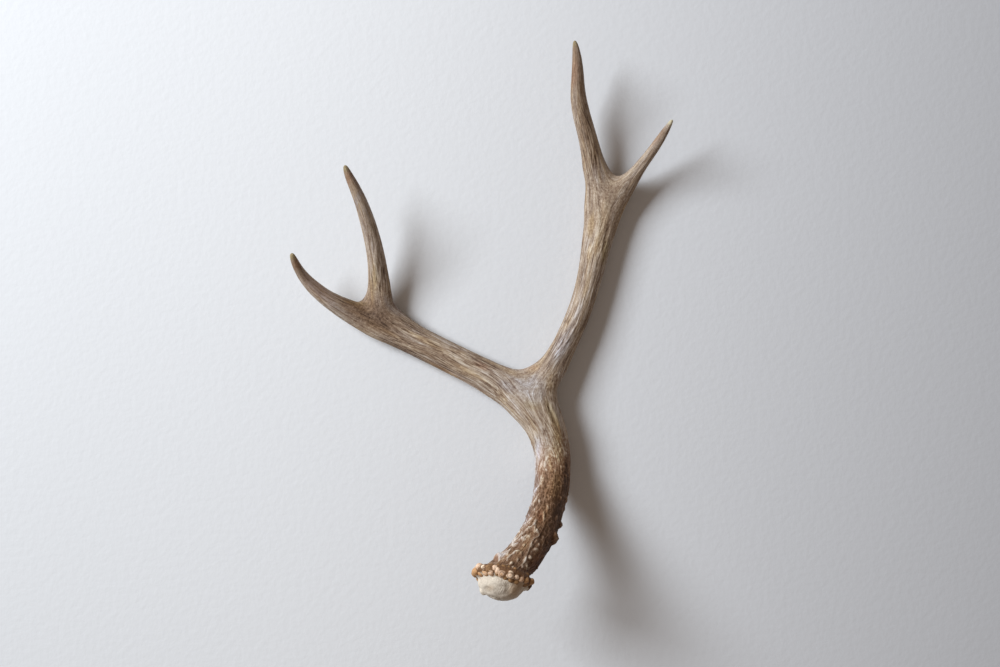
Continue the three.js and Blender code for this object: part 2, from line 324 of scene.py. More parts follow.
# Stations in the same form as those of the beam.
FRONT_BRANCH = [
    [12.0, -53.4, 11.8, 27.3, 20.8],
    [-5.0, -44.3, 10.9, 24.6, 19.6],
    [-22.1, -36.0, 10.3, 23.8, 19.0],
    [-38.8, -27.7, 9.7, 23.8, 18.8],
    [-55.0, -19.4, 9.3, 24.3, 18.7],
    [-67.7, -11.8, 9.5, 27.0, 18.9],
    [-80.7, -3.9, 10.6, 32.6, 18.6],
]
FRONT_LOWER_TINE = [
    [-105.3, 2.8, 13.5, 17.6, 13.2],
    [-115.2, 8.2, 17.0, 14.3, 12.3],
    [-124.1, 14.2, 21.5, 12.3, 11.3],
    [-132.0, 21.3, 26.5, 10.7, 10.3],
    [-137.8, 27.9, 31.0, 8.9, 8.9],
    [-141.9, 34.5, 36.0, 7.1, 7.1],
    [-144.5, 40.9, 40.5, 5.9, 5.9],
    [-145.9, 45.7, 43.6, 3.9, 3.9],
]
FRONT_UPPER_TINE = [
    [-80.9, 17.4, 13.8, 18.4, 13.6],
    [-81.9, 34.1, 19.5, 15.3, 13.0],
    [-83.1, 44.9, 24.0, 13.9, 12.5],
    [-84.8, 55.5, 28.8, 13.0, 12.1],
    [-87.2, 66.4, 33.8, 12.0, 11.5],
    [-90.4, 78.4, 39.0, 10.7, 10.5],
    [-94.0, 89.2, 43.5, 9.4, 9.4],
    [-98.6, 99.5, 47.5, 8.0, 8.0],
    [-102.1, 106.8, 50.3, 6.2, 6.2],
    [-104.0, 112.2, 52.3, 3.9, 3.9],
]
REAR_BRANCH = [
    [56.3, -40.7, 13.0, 22.5, 18.9],
    [64.6, -24.9, 12.0, 19.0, 19.0],
    [72.6, -8.3, 11.2, 18.6, 19.2],
    [79.2, 8.8, 10.4, 18.5, 19.2],
    [84.0, 25.3, 10.0, 19.4, 19.2],
    [88.0, 42.5, 9.8, 21.4, 19.3],
    [90.9, 57.2, 9.8, 23.8, 19.5],
    [94.3, 73.4, 10.2, 27.3, 19.4],
    [97.6, 93.1, 11.0, 35.6, 20.0],
]
REAR_LONG_TINE = [
    [88.2, 116.4, 15.3, 18.5, 14.4],
    [85.5, 128.6, 18.0, 15.4, 13.6],
    [82.6, 140.1, 20.6, 14.3, 13.4],
    [79.3, 151.1, 23.0, 14.0, 13.6],
    [76.3, 162.0, 26.0, 13.3, 13.3],
    [74.5, 173.1, 29.3, 11.7, 11.7],
    [74.4, 182.0, 32.0, 10.0, 10.0],
    [74.1, 190.7, 34.8, 8.8, 8.8],
    [73.5, 198.8, 37.3, 7.1, 7.1],
    [72.5, 205.3, 39.2, 5.2, 5.2],
    [71.7, 209.7, 40.4, 3.2, 3.2],
]
REAR_SHORT_TINE = [
    [120.3, 110.6, 17.5, 10.7, 9.1],
    [125.4, 117.6, 21.5, 8.9, 8.3],
    [130.1, 123.7, 25.5, 8.1, 7.9],
    [134.7, 130.2, 30.0, 7.6, 7.6],
    [139.1, 137.0, 35.0, 6.7, 6.7],
    [142.8, 143.1, 39.8, 5.0, 5.0],
    [145.9, 148.3, 43.9, 2.9, 2.9],
]
FRONT_CROTCH = np.array([-98.6, 10.6, 11.5])
REAR_CROTCH = np.array([107.1, 107.9, 13.0])

# How far the point of a tine stands out from its last ring, and how often the faces of the
# cage are halved.
TIP_CAP = 1.6
SUBDIVISIONS = 3


def grow_limb(stations, parent, side, crotch=None):
    """Lays a limb's rings on from the leg that its parent's fork left open."""
    sides = len(parent["ring"]) // 2 + 1 + SADDLE_POINTS
    step = 2 * math.pi / sides
    middle = (SADDLE_POINTS + 1) / 2
    left = side == "left"
    if left:
        phase = -math.pi / 2 - (len(parent["ring"]) / 2 + middle) * step
    else:
        phase = math.pi / 2 - middle * step
    turn = (step / 2 if left else -step / 2) if crotch is not None else 0
    limb = sections(stations, RINGS_PER_STATION if crotch is not None else 1, crotch)
    leg = parent["legs"][side]
    across = np.array([cage.grain[i][:2] for i in leg])
    start = parent["growth"] + np.linalg.norm(limb["centre"][0] - parent["centre"])
    ring = leg
    last = len(limb["along"]) - 1
    for i in range(last + 1):
        angles = phase + turn * i / last + step * np.arange(sides)
        tip = TIP_REACH if crotch is not None else limb["along"][-1] - limb["along"][i]
        added = cage.add(ring_points(limb, i, angles), across, start + limb["along"][i], tip)
        cage.band(ring, added)
        ring = added
    end = {"growth": start + limb["along"][-1], "centre": limb["centre"][-1]}
    if crotch is None:
        pole = limb["centre"][-1] + limb["heading"][-1] * TIP_CAP
        apex = cage.add([pole], [across.mean(0)], end["growth"] + TIP_CAP, 0)[0]
        cage.close(ring, apex, at_start=False)
        return end
    top = 1 if left else sides - 1
    end["ring"] = ring[top:] + ring[:top]
    return split(end, limb, crotch)


front_end = grow_limb(FRONT_BRANCH, main_end, "left", FRONT_CROTCH)
rear_end = grow_limb(REAR_BRANCH, main_end, "right", REAR_CROTCH)
grow_limb(FRONT_LOWER_TINE, front_end, "left")
grow_limb(FRONT_UPPER_TINE, front_end, "right")
grow_limb(REAR_LONG_TINE, rear_end, "left")
grow_limb(REAR_SHORT_TINE, rear_end, "right")

cage_mesh = bpy.data.meshes.new("cage")
cage_mesh.from_pydata([list(p) for p in cage.points], [], cage.faces)
grain_marks = cage_mesh.attributes.new("grain", "FLOAT_VECTOR", "POINT")
grain_marks.data.foreach_set("vector", np.ravel(cage.grain))
tip_marks = cage_mesh.attributes.new("tip", "FLOAT", "POINT")
tip_marks.data.foreach_set("value", np.array(cage.tip, dtype=float))
antler = bpy.data.objects.new("antler", cage_mesh)
bpy.context.collection.objects.link(antler)
subdivision = antler.modifiers.new("subdivision", "SUBSURF")
subdivision.levels = subdivision.render_levels = SUBDIVISIONS
smooth = bpy.data.meshes.new_from_object(antler.evaluated_get(bpy.context.evaluated_depsgraph_get()))
antler.modifiers.clear()
antler.data = smooth
count = len(smooth.vertices)

# ---- Bark, pearls and grain --------------------------------------------------------------
# While it grew, the bone lay under a living skin. Its blood vessels left a coarse net of
# ridges and hard pearls on the beam, and long, fine grain on the branches. All of it is
# raised from the mesh, by parts of a millimetre.

# Pearls, spurs and short ridges of the beam: x, y, z, degrees from the right in the view
# from above, length, width and height.
BUMPS = [
    [43.6, -171.5, 76.7, 60, 3.4, 3.0, 1.2],
    [41.3, -175.3, 79.7, 15, 5.6, 3.2, 1.4],
    [35.7, -180.7, 84.9, 60, 4.2, 3.8, 1.6],
    [46.4, -167.7, 70.7, 60, 3.2, 3.0, 0.9],
    [56.0, -171.0, 59.3, 68, 11.5, 8.5, 3.4],
    [59.6, -161.1, 48.5, 70, 6.4, 5.0, 2.2],
    [64.8, -143.6, 36.0, 80, 6.4, 4.6, 1.7],
    [60.5, -141.5, 43.2, 80, 3.6, 3.2, 0.9],
    [57.1, -155.4, 54.2, 30, 5.0, 3.2, 0.9],
    [26.8, -176.6, 85.5, 16, 9.4, 2.8, 1.7],
    [26.5, -181.5, 90.2, 80, 4.6, 2.4, 0.9],
    [23.5, -187.0, 96.8, 0, 3.4, 2.6, 0.8],
    [33.1, -186.2, 88.6, 80, 6.0, 3.0, 1.0],
    [31.5, -167.8, 74.4, 48, 11.0, 2.4, 1.1],
    [34.9, -166.2, 73.8, -60, 5.0, 2.2, 0.8],
    [40.1, -157.8, 64.4, 84, 12.0, 3.0, 1.2],
    [41.7, -163.4, 70.5, -78, 9.5, 2.2, 0.9],
    [41.5, -143.7, 44.1, 55, 9.0, 2.1, 0.9],
    [44.3, -143.9, 48.2, -72, 8.4, 2.2, 0.9],
    [41.6, -137.4, 35.5, 52, 8.0, 2.1, 0.8],
    [35.5, -160.5, 68.8, 52, 13.0, 2.4, 1.0],
    [12.2, -179.8, 84.8, 60, 9.0, 4.4, 2.8],
    [16.2, -180.1, 85.2, 52, 12.0, 2.8, 1.2],
    [20.2, -180.9, 89.2, 80, 7.0, 2.4, 0.9],
    [22.6, -183.4, 93.5, 60, 3.6, 3.2, 1.3],
    [29.7, -186.5, 91.0, 60, 3.2, 2.8, 1.1],
    [26.3, -172.2, 78.9, 40, 7.0, 2.4, 1.0],
    [50.2, -147.9, 53.5, 75, 9.0, 2.8, 0.9],
    [46.9, -153.9, 60.1, 82, 11.0, 2.4, 0.8],
    [37.0, -172.1, 79.3, 70, 6.4, 2.2, 0.8],
    [32.0, -181.8, 88.2, 45, 7.0, 3.0, 0.9],
    [37.6, -155.8, 58.9, 68, 9.0, 3.4, 0.8],
    [34.7, -160.6, 67.7, 58, 8.0, 2.6, 0.8],
    [30.4, -165.9, 69.7, 55, 8.0, 2.6, 0.8],
    [25.5, -172.0, 77.7, 48, 8.0, 2.4, 0.8],
    [21.3, -175.8, 81.9, 42, 7.0, 2.4, 0.7],
    [41.3, -148.2, 51.1, 74, 9.0, 2.4, 0.7],
    [42.8, -140.8, 42.6, 82, 8.0, 2.0, 0.6],
    [44.6, -133.0, 36.5, 84, 11.0, 2.0, 0.5],
    [46.2, -127.1, 33.4, -78, 9.0, 2.0, 0.5],
    [46.0, -118.4, 27.5, 86, 12.0, 2.0, 0.4],
    [49.5, -115.2, 28.2, 84, 12.0, 2.0, 0.4],
]

# Swellings and dents of the seal, in the same form.
SEAL_FORMS = [
    [1.9, -198.6, 86.0, 100, 11, 6.0, 1.2],
    [4.0, -203.4, 86.8, 45, 7.0, 7.0, 2.0],
    [7.4, -206.6, 86.6, 30, 7.0, 6.0, -1.8],
    [7.7, -200.6, 94.0, 25, 11, 8.0, -0.8],
    [13.3, -195.6, 99.6, -20, 13, 6.0, 0.7],
    [24.2, -201.3, 98.4, 60, 12, 8.0, 0.6],
    [16.9, -206.1, 96.3, 30, 9.0, 6.0, 0.4],
    [19.1, -198.8, 100.2, 80, 10, 5.0, -0.5],
    [10.6, -208.1, 90.6, -40, 7.0, 5.0, 0.4],
    [30.0, -203.0, 91.0, 60, 14, 10, -1.4],
]

# Long flutes, ridges and hollows of the beam and the branches, in the same form.
FLUTES = [
    [90.6, 64.8, 19.3, 86, 38, 6.0, 0.45],
    [86.3, 30.2, 19.3, 77, 36, 5.2, 0.35],
    [97.4, 61.7, 18.8, 79, 36, 4.4, -0.45],
    [92.6, 86.7, 19.9, 97, 26, 3.8, -0.3],
    [102.8, 84.4, 19.8, 64, 23, 3.8, -0.3],
    [97.2, 89.8, 20.8, 80, 20, 5.0, 0.3],
    [72.9, -6.0, 20.6, 62, 35, 3.0, -0.4],
    [68.9, -17.0, 21.0, 60, 32, 3.0, 0.4],
    [65.0, -18.5, 21.0, 60, 29, 2.8, -0.4],
    [55.4, -81.0, 26.4, -68, 32, 3.0, -0.4],
    [59.4, -85.8, 25.1, -72, 35, 3.0, 0.4],
    [49.9, -76.2, 27.8, -66, 29, 3.4, 0.35],
    [25.7, -70.2, 24.6, -48, 32, 4.0, 0.5],
    [-21.4, -33.5, 19.4, -30, 32, 3.2, 0.45],
    [3.0, -51.5, 21.4, -36, 29, 3.4, 0.5],
    [-0.2, -56.3, 19.1, -36, 27, 2.8, -0.4],
    [-25.3, -35.8, 19.5, -29, 29, 2.8, -0.4],
    [-41.1, -29.6, 18.8, -30, 32, 2.8, 0.35],
    [-86.6, -2.8, 19.9, -30, 32, 15, -0.5],
    [-96.5, 8.3, 15.3, -14, 21, 4.4, 0.4],
    [-82.6, 40.7, 28.9, 86, 48, 4.4, 0.45],
    [-78.5, 23.0, 22.0, 84, 35, 4.2, -0.5],
]
LUMP_DEPTH = 8

# The middles of the forks, where the bone is smoother: x, y, z and radius.
FORK_CENTRES = [
    [35.0, -53.0, 14.0, 20],
    [-88.0, 2.0, 13.0, 21],
    [100.0, 98.0, 13.0, 19],
    [96.0, 78.0, 15.0, 17],
]

# Small pearls in random places: how many, the range of their widths, and height per width.
PEARL_SEED = 4
SMALL_PEARLS = 90
SMALL_PEARL_WIDTHS = (1.4, 3.0)
SMALL_PEARL_RISE = 0.36

# Where things begin and end, in mm of growth from the burr, or of height over it.
COARSE_BARK_FADES = (28, 62)
BARK_FADES = (92, 172)
BRANCH_GRAIN_GROWS = (90, 170)
CURL_FADES = (110, 190)
BASE_REACH = 34
SEAL_EDGE = (2.6, 4.2)
BURR_EDGE = (-5.0, -3.2)


def read(name, kind, width):
    values = np.empty(count * width, dtype=np.float32)
    smooth.attributes[name].data.foreach_get(kind, values)
    return values.reshape(count, width).astype(float) if width > 1 else values.astype(float)


place = read("position", "vector", 3)
grain = read("grain", "vector", 3)
tip = read("tip", "value", 1)
normal = np.empty(count * 3, dtype=np.float32)
smooth.vertices.foreach_get("normal", normal)
normal = normal.reshape(count, 3).astype(float)


def step(values, low, high):
    """Runs smoothly from 0 at `low` to 1 at `high`."""
    share = np.clip((values - low) / (high - low), 0, 1)
    return share * share * (3 - 2 * share)


def waves(across, along, seed):
    """Smooth noise of about -1 to 1, stretched along the growth. Sizes are in mm."""
    scaled = bent / (across, across, along) + 13.7 * seed
    return np.array([noise.noise(p) for p in scaled.tolist()]) * 1.6


def ridges(across, along, seed, sharpness):
    """Thin ridges that join into a long net: 1 on a ridge, 0 beside it."""
    return np.clip(1 - sharpness * np.abs(waves(across, along, seed)), 0, 1)


# No line of the grain runs straight: all of it bends a little, and the bark curls as well.
bent = grain
bend = np.stack([waves(17, 50, 1), waves(17, 50, 2), np.zeros(count)], axis=1)
curl = np.stack([waves(6, 15, 13), waves(6, 15, 14), np.zeros(count)], axis=1)
curled = 1 - step(grain[:, 2:], *CURL_FADES)
bent = grain + 2.4 * bend + 0.8 * curl * curled

growth = grain[:, 2]
from_burr = place - BURR_CENTRE
base_height = from_burr @ seal_axis
near_base = np.linalg.norm(from_burr, axis=1) < BASE_REACH
seal = np.where(near_base, step(base_height, *SEAL_EDGE), 0)
burr = np.where(near_base, step(base_height, *BURR_EDGE) * (1 - seal), 0)
limb = (1 - seal) * (1 - burr)
rough = limb * (1 - step(growth, *BARK_FADES))
branchy = limb * step(growth, *BRANCH_GRAIN_GROWS) * (0.35 + 0.65 * step(tip, 4, 55))
low = step(place[:, 2], -0.5, 4)

fork = np.zeros(count)
for x, y, z, radius in FORK_CENTRES:
    away = np.linalg.norm(place - (x, y, z), axis=1)
    fork = np.maximum(fork, 1 - step(away, 0.45 * radius, 1.5 * radius))

web = waves(4.2, 15, 3)
small_web = waves(2.1, 9, 4)
net = np.clip(1 - 3.0 * np.abs(web), 0, 1)
small_net = np.clip(1 - 2.4 * np.abs(small_web), 0, 1)
coarse = 1 - step(growth, *COARSE_BARK_FADES)
streak = ridges(1.7, 30, 5, 1.7)
flute = waves(6.0, 75, 6)
swell = waves(8, 20, 7)
grit = waves(1.5, 2.2, 11)
net_relief = coarse * 0.62 * (net - 0.2) + (0.34 - 0.10 * coarse) * (small_net - 0.3)
height = rough * (net_relief + 0.5 * swell + 0.12 * grit) * low
height += branchy * (1 - 0.75 * fork) * (0.16 * (streak - 0.4) + 0.20 * flute + 0.04 * grit) * low
height += seal * (0.18 * waves(5, 4, 8) + 0.10 * waves(2.0, 2.0, 9))


def lump(centre, degrees, length, width):
    """1 at the middle of an oval on the skin, running to 0 at its edge."""
    offset = place - centre
    i = np.argmin(np.einsum("ij,ij->i", offset, offset))
    out = normal[i]
    run = np.array([math.cos(math.radians(degrees)), math.sin(math.radians(degrees)), 0])
    run = unit(run - out * (run @ out))
    side = np.cross(out, run)
    offset = place - place[i]
    away = (offset @ run / (length / 2)) ** 2 + (offset @ side / (width / 2)) ** 2
    return np.clip(1 - away - (offset @ out / LUMP_DEPTH) ** 2, 0, 1)


pearl = np.zeros(count)
for x, y, z, degrees, length, width, rise_by in BUMPS:
    bump = lump((x, y, z), degrees, length, width)
    height += rise_by * bump
    pearl = np.maximum(pearl, bump**0.7)
for x, y, z, degrees, length, width, rise_by in SEAL_FORMS:
    height += rise_by * step(lump((x, y, z), degrees, length, width), 0, 1)
crest = np.zeros(count)
for x, y, z, degrees, length, width, rise_by in FLUTES:
    crest += rise_by * step(lump((x, y, z), degrees, length, width), 0, 1)
height += crest

random = np.random.default_rng(PEARL_SEED)
sites = np.flatnonzero((rough > 0.35) & (growth > 8))
for i in random.choice(sites, SMALL_PEARLS, replace=False):
    size = random.uniform(*SMALL_PEARL_WIDTHS) * (0.6 + 0.4 * rough[i])
    bump = lump(place[i], random.uniform(40, 100), size * random.uniform(1, 1.7), size)
    height += SMALL_PEARL_RISE * size * bump * rough[i]
    pearl = np.maximum(pearl, 0.6 * bump)

shape = place + normal * height[:, None]

# ---- Knobs of the burr -------------------------------------------------------------------
# A ring of hard, polished knobs of uneven size around the seal, with a row of smaller ones
# on the side of the beam. Each is pushed out of the skin like half a ball. At the end the
# skin is eased off the floor that the antler rests on.

# Knobs that show: degrees round the burr from the left over the top, shift towards the
# seal, radius, how far the centre lies from the axis, and how pale the knob is.
KNOBS = [
    [2, -1.4, 3.2, 21.9, 0.85],
    [12, 1.8, 3.2, 21.0, 0.55],
    [-13, 1.4, 3.0, 21.6, 0.4],
    [25, -0.8, 2.9, 20.9, 0.78],
    [40, 0.0, 2.6, 20.1, 0.95],
    [52, 0.0, 3.1, 19.6, 0.35],
    [58, 2.8, 2.6, 18.8, 0.78],
    [42, 3.2, 2.5, 18.5, 0.68],
    [22, 4.0, 2.5, 18.2, 0.6],
    [66, -0.6, 2.4, 19.9, 0.8],
    [74, 0.8, 2.5, 19.8, 0.82],
    [74, 3.0, 2.0, 18.9, 0.15],
    [83, 2.2, 3.0, 19.0, 0.75],
    [93, 4.0, 2.0, 17.8, 0.4],
    [101, 1.6, 3.3, 19.3, 0.88],
    [115, 1.2, 2.4, 19.9, 0.85],
    [107, 4.2, 2.3, 17.3, 0.3],
    [127, 1.2, 2.8, 19.9, 0.72],
    [122, 3.8, 2.2, 17.8, 0.35],
    [140, 1.0, 2.5, 20.9, 0.55],
    [150, 3.4, 2.3, 18.9, 0.2],
    [158, -0.2, 2.9, 21.7, 0.5],
    [170, 1.6, 3.0, 22.4, 0.36],
    [177, -0.8, 2.9, 23.0, 0.3],
    [188, 0.8, 3.0, 22.9, 0.26],
    [203, 0.0, 2.8, 21.6, 0.4],
]
# Knobs with a dark ring, painted shade of a crease, and a dark middle.
RINGED_KNOBS = [4, 5, 12, 14]

# Knobs of the underside, and of the row of smaller ones. They are spread evenly, and sines
# make each of them a little different.
UNDER_KNOBS = 13
UNDER_ARC = (216, 116)
SMALL_KNOBS = 22
KNOB_SHOWS_FROM = 0.9
FLOOR_GAP = 0.7
MM = 0.001

knobs = [[math.radians(a), *rest] for a, *rest in KNOBS]
for i in range(UNDER_KNOBS):
    angle = math.radians(UNDER_ARC[0] + UNDER_ARC[1] * i / (UNDER_KNOBS - 1))
    wobble = math.sin(2.4 * i)
    knobs.append([angle, 1.4 * wobble, 3.4 + 0.6 * math.sin(3.7 * i), 20.0, 0.35 + 0.2 * wobble])
for i in range(SMALL_KNOBS):
    angle = 2 * math.pi * (i + 0.3 * math.sin(5.1 * i)) / SMALL_KNOBS
    knobs.append([angle, -3.4 + 0.5 * math.sin(1.9 * i), 1.9 + 0.3 * math.sin(2.9 * i), 18.0, 0.3])
knob_tone = np.zeros(count)
knob_height = np.zeros(count)
for angle, shift, radius, far, tone in knobs:
    centre = BURR_CENTRE + seal_axis * shift
    outwards = left_of_burr * math.cos(angle) + top_of_burr * math.sin(angle)
    centre = centre + far * outwards
    offset = shape - centre
    reach = np.linalg.norm(offset, axis=1)
    uneven = 1 + 0.09 * np.sin(1.4 * offset @ np.roll(outwards, 1) + 7 * angle)
    uneven = uneven + 0.07 * np.sin(2.2 * offset @ seal_axis + 3 * angle)
    distance = reach / uneven
    inside = distance < radius
    lift = np.where(inside, radius - distance, 0)
    shape += np.where(inside, 0.95 * lift / np.maximum(distance, 0.2), 0)[:, None] * offset
    knob_tone = np.where(lift > knob_height, tone, knob_tone)
    knob_height = np.maximum(knob_height, lift)
knobbed = step(knob_height, 0.05, 0.35)
burr = np.maximum(burr, knobbed)
seal = seal * (1 - knobbed)
shape += normal * (burr * (0.14 * waves(1.9, 1.6, 10) + 0.08 * waves(1.1, 1.0, 12)))[:, None]

under = shape[:, 2] < FLOOR_GAP
shape[under, 2] = FLOOR_GAP * np.exp((shape[under, 2] - FLOOR_GAP) / FLOOR_GAP)
smooth.vertices.foreach_set("co", (shape * MM).ravel())
smooth.shade_smooth()

# ---- Colour of the bone ------------------------------------------------------------------
# Weathered bone. Dried blood and the juice of bark have stained the beam chocolate brown,
# the branches have bleached to straw and grey, the tips are rubbed smooth, and the seal is
# bare and chalky.

# Patches of colour: x, y, z, degrees from the right, length, width and strength. The pale
# ones are partly painted light, the dark ones partly painted shade, and the seal's ones
# painted shade on tan.
PATCHES = {
    # Paler bone, partly bleached and partly painted light: the lit left sides, brightened shaded right
    # sides, and a painted highlight along the lower front tine.
    "bleach_and_light": [
        [33.4, -158.4, 57.1, 55, 22, 6.5, 1.0],
        [29.5, -163.6, 60.7, 60, 9, 5.5, 0.8],
        [25.6, -169.8, 72.4, 50, 12, 5.5, 0.8],
        [16.6, -179.5, 84.4, 50, 13, 5.5, 0.9],
        [39.5, -142.4, 35.8, 70, 28, 6.0, 0.9],
        [42.3, -115.9, 22.0, 84, 40, 6.5, 0.8],
        [26.5, -72.5, 24.3, -50, 35, 5.5, 0.7],
        [40.5, -69.2, 27.9, -20, 12, 7.0, 0.7],
        [61.9, -23.2, 20.9, 62, 28, 8.0, 0.7],
        [75.3, 5.0, 19.8, 66, 36, 6.5, 0.5],
        [90.2, 58.5, 19.5, 85, 44, 5.2, 0.5],
        [84.7, 22.3, 19.4, 76, 30, 4.8, 0.6],
        [82.6, 68.2, 15.6, 82, 30, 4.0, 0.5],
        [56.0, -74.0, 23.5, -66, 34, 9.0, 0.9],
        [86.3, 30.2, 19.3, 77, 36, 9.0, 0.5],
        [89.0, 56.0, 19.0, 80, 120, 24, 0.45],
        [-84.5, 52.0, 30.0, 84, 42, 11, 0.6],
        [-28.6, -24.1, 16.6, -30, 18, 6.0, 0.7],
        [-9.5, -55.9, 11.5, -32, 30, 6.5, 0.7],
        [-19.1, -48.5, 15.2, -30, 28, 5.5, 0.6],
        [14.0, -45.3, 19.7, -20, 22, 7.0, 0.4],
        [-85.5, 46.0, 31.0, 87, 60, 5.0, 0.8],
        [-82.8, 58.9, 35.7, 80, 30, 8.5, 0.6],
        [-78.0, 30.0, 25.0, 82, 30, 6.0, 0.5],
        [-101.7, 97.7, 47.6, 64, 25, 4.5, 0.4],
        [130.6, 126.1, 31.0, 50, 42, 6.5, 0.9],
        [123.5, 114.5, 24.4, 52, 24, 6.0, 0.6],
        [144.4, 146.0, 42.5, 58, 16, 8.0, 1.0],
        [79.0, 12.0, 19.5, 70, 56, 18, 0.85],
        [37.5, -166.0, 75.0, 58, 24, 12, 0.25],
        [-127.5, 9.5, 22.0, -44, 46, 7.0, 0.8],
        [-108.0, 6.5, 17.5, -22, 24, 5.0, 0.6],
        [-126.0, 18.0, 27.0, -46, 70, 22, 1.0],
        [-88.0, 62.0, 36.0, 97, 110, 22, 0.45],
        [64.0, -22.0, 20.0, 62, 44, 18, 0.35],
        [96.0, 44.0, 15.0, 80, 120, 12, 0.35],
        [-79.0, 50.0, 27.0, 87, 80, 9.0, 0.45],
        [-28.0, -25.0, 15.0, -28, 90, 9.0, 0.4],
        [60.0, -60.0, 18.0, 78, 50, 12, 0.3],
    ],
    "ochre": [
        [85.7, 69.6, 17.5, 84, 26, 6.0, 1.0],
        [84.8, 49.1, 18.4, 80, 20, 5.5, 0.7],
        [93.4, 64.8, 19.5, 82, 66, 15, 0.55],
        [82.4, 23.1, 19.6, 72, 31, 4.4, 0.6],
        [54.7, -115.1, 29.7, 88, 36, 8.0, 0.6],
        [52.2, -135.4, 42.3, 82, 27, 9.0, 0.6],
        [46.6, -152.2, 57.1, 66, 26, 9.0, 0.5],
        [36.9, -168.5, 75.3, 55, 26, 10, 0.3],
        [-29.6, -45.4, 11.0, -30, 45, 5.5, 0.9],
        [-41.1, -22.5, 18.3, -27, 47, 4.7, 0.6],
        [-9.6, -45.2, 20.4, -30, 39, 4.0, 0.6],
    ],
    "olive": [
        [59.3, -102.8, 27.3, -86, 40, 9.0, 0.5],
        [57.2, -132.6, 40.0, 84, 34, 9.0, 0.8],
        [55.4, -79.4, 26.2, -64, 36, 7.5, 0.6],
        [96.7, 49.2, 17.0, 80, 27, 5.5, 0.8],
        [-98.1, 9.1, 14.6, -12, 24, 5.5, 0.7],
        [-84.7, 26.9, 23.6, 86, 38, 6.5, 0.4],
        [39.0, -70.8, 27.7, -10, 17, 10, 0.4],
    ],
    # Darker bone, partly stains and partly painted shade along the shaded right sides of the beam and
    # the rear branch.
    "stain_and_shade": [
        [99.7, 72.6, 19.3, 74, 28, 4.6, 0.6],
        [94.7, 46.0, 17.8, 79, 33, 4.2, 0.45],
        [88.8, 18.5, 17.1, 72, 27, 4.0, 0.3],
        [81.8, -5.9, 15.9, 62, 33, 4.8, 0.3],
        [-86.6, 0.3, 19.1, -27, 68, 26, 1.0],
        [-107.9, 11.3, 19.2, -27, 34, 13, 0.4],
        [-66.7, -25.7, 12.7, -30, 36, 9.0, 0.5],
        [-38.0, -31.0, 18.5, -30, 44, 15, 0.25],
        [80.0, 147.0, 29.5, 95, 44, 11, 0.7],
        [88.0, 122.0, 21.0, 99, 36, 14, 0.5],
        [92.6, 86.0, 19.9, 96, 25, 3.8, 0.2],
        [102.8, 83.6, 19.8, 64, 23, 3.8, 0.2],
        [58.5, -85.7, 25.8, -76, 36, 5.5, 0.3],
        [40.0, -189.0, 80.8, 55, 26, 15, 0.65],
        [50.8, -174.0, 66.8, 62, 38, 11, 0.7],
        [58.3, -149.9, 49.9, 80, 46, 10, 0.6],
        [65.2, -128.7, 32.9, 88, 46, 6.0, 0.6],
    ],
    "red": [
        [34.6, -41.5, 14.5, -6, 42, 6.5, 0.35],
        [-20.5, -49.9, 10.5, -30, 74, 6.0, 0.4],
        [-142.3, 38.5, 41.7, 60, 12, 9.0, 0.8],
        [-127.7, 19.6, 29.8, -45, 46, 14, 0.45],
        [-102.0, 102.2, 51.1, 65, 22, 8.0, 0.7],
        [70.9, 187.3, 36.7, 88, 30, 10, 0.7],
        [135.9, 138.1, 36.5, 58, 24, 7.0, 0.5],
        [44.5, -153.5, 60.2, 84, 13, 6.0, 0.8],
        [12.2, -179.1, 84.2, 60, 8.0, 5.0, 1.0],
        [46.0, -113.9, 25.5, 84, 42, 8.5, 0.4],
        [-0.1, -40.5, 19.4, -25, 16, 6.5, 0.6],
        [42.0, -187.0, 78.0, 55, 30, 14, 0.6],
    ],
    "grey": [
        [37.5, -56.1, 24.8, -40, 42, 25, 0.9],
        [90.9, 110.1, 21.8, -75, 22, 12, 0.5],
        [-69.8, 6.7, 12.9, -50, 27, 12, 0.6],
        [19.5, -56.1, 23.6, -30, 19, 11, 0.6],
        [62.7, -24.0, 21.0, 62, 40, 13, 0.75],
        [42.5, -110.1, 21.5, 86, 39, 11, 0.8],
        [39.8, -133.1, 28.5, 78, 32, 14, 1.0],
        [33.1, -153.4, 51.7, 60, 28, 10, 0.9],
        [19.8, -173.7, 67.3, 50, 23, 5.5, 0.5],
        [-95.5, 87.3, 47.2, 66, 31, 5.0, 0.6],
    ],
    # Tan on the seal, with painted shade on its right side, in a dimple and underneath.
    "tan_and_shade": [
        [26.4, -200.7, 97.7, 60, 22, 14, 1.0],
        [6.7, -200.7, 93.4, 30, 10, 6.0, 0.5],
        [16.2, -207.9, 94.4, 0, 15, 4.0, 0.3],
    ],
}
PATCH_DEPTH = 18

marks = {
    "seal": seal,
    "burr": burr,
    "rough": rough,
    "web": web,
    "small_web": small_web,
    "streak": streak,
    "fork": fork,
    "pearl": pearl,
    "crest": crest,
    "knob": np.clip(knob_height / KNOB_SHOWS_FROM, 0, 1),
    "knob_tone": knob_tone,
}
for name, patches in PATCHES.items():
    field = np.zeros(count)
    for x, y, z, degrees, length, width, strength in patches:
        turn = math.radians(degrees)
        dx, dy, dz = (place - (x, y, z)).T
        along = (dx * math.cos(turn) + dy * math.sin(turn)) / (length / 2)
        aside = (dy * math.cos(turn) - dx * math.sin(turn)) / (width / 2)
        away = along**2 + aside**2 + (dz / PATCH_DEPTH) ** 2
        field = np.maximum(field, strength * (1 - step(np.sqrt(away), 0.35, 1.15)))
    marks[name] = field
for name, values in marks.items():
    mark = smooth.attributes.new(name, "FLOAT", "POINT")
    mark.data.foreach_set("value", values.astype(np.float32))
grain_lines = smooth.attributes.new("bent", "FLOAT_VECTOR", "POINT")
grain_lines.data.foreach_set("vector", bent.astype(np.float32).ravel())

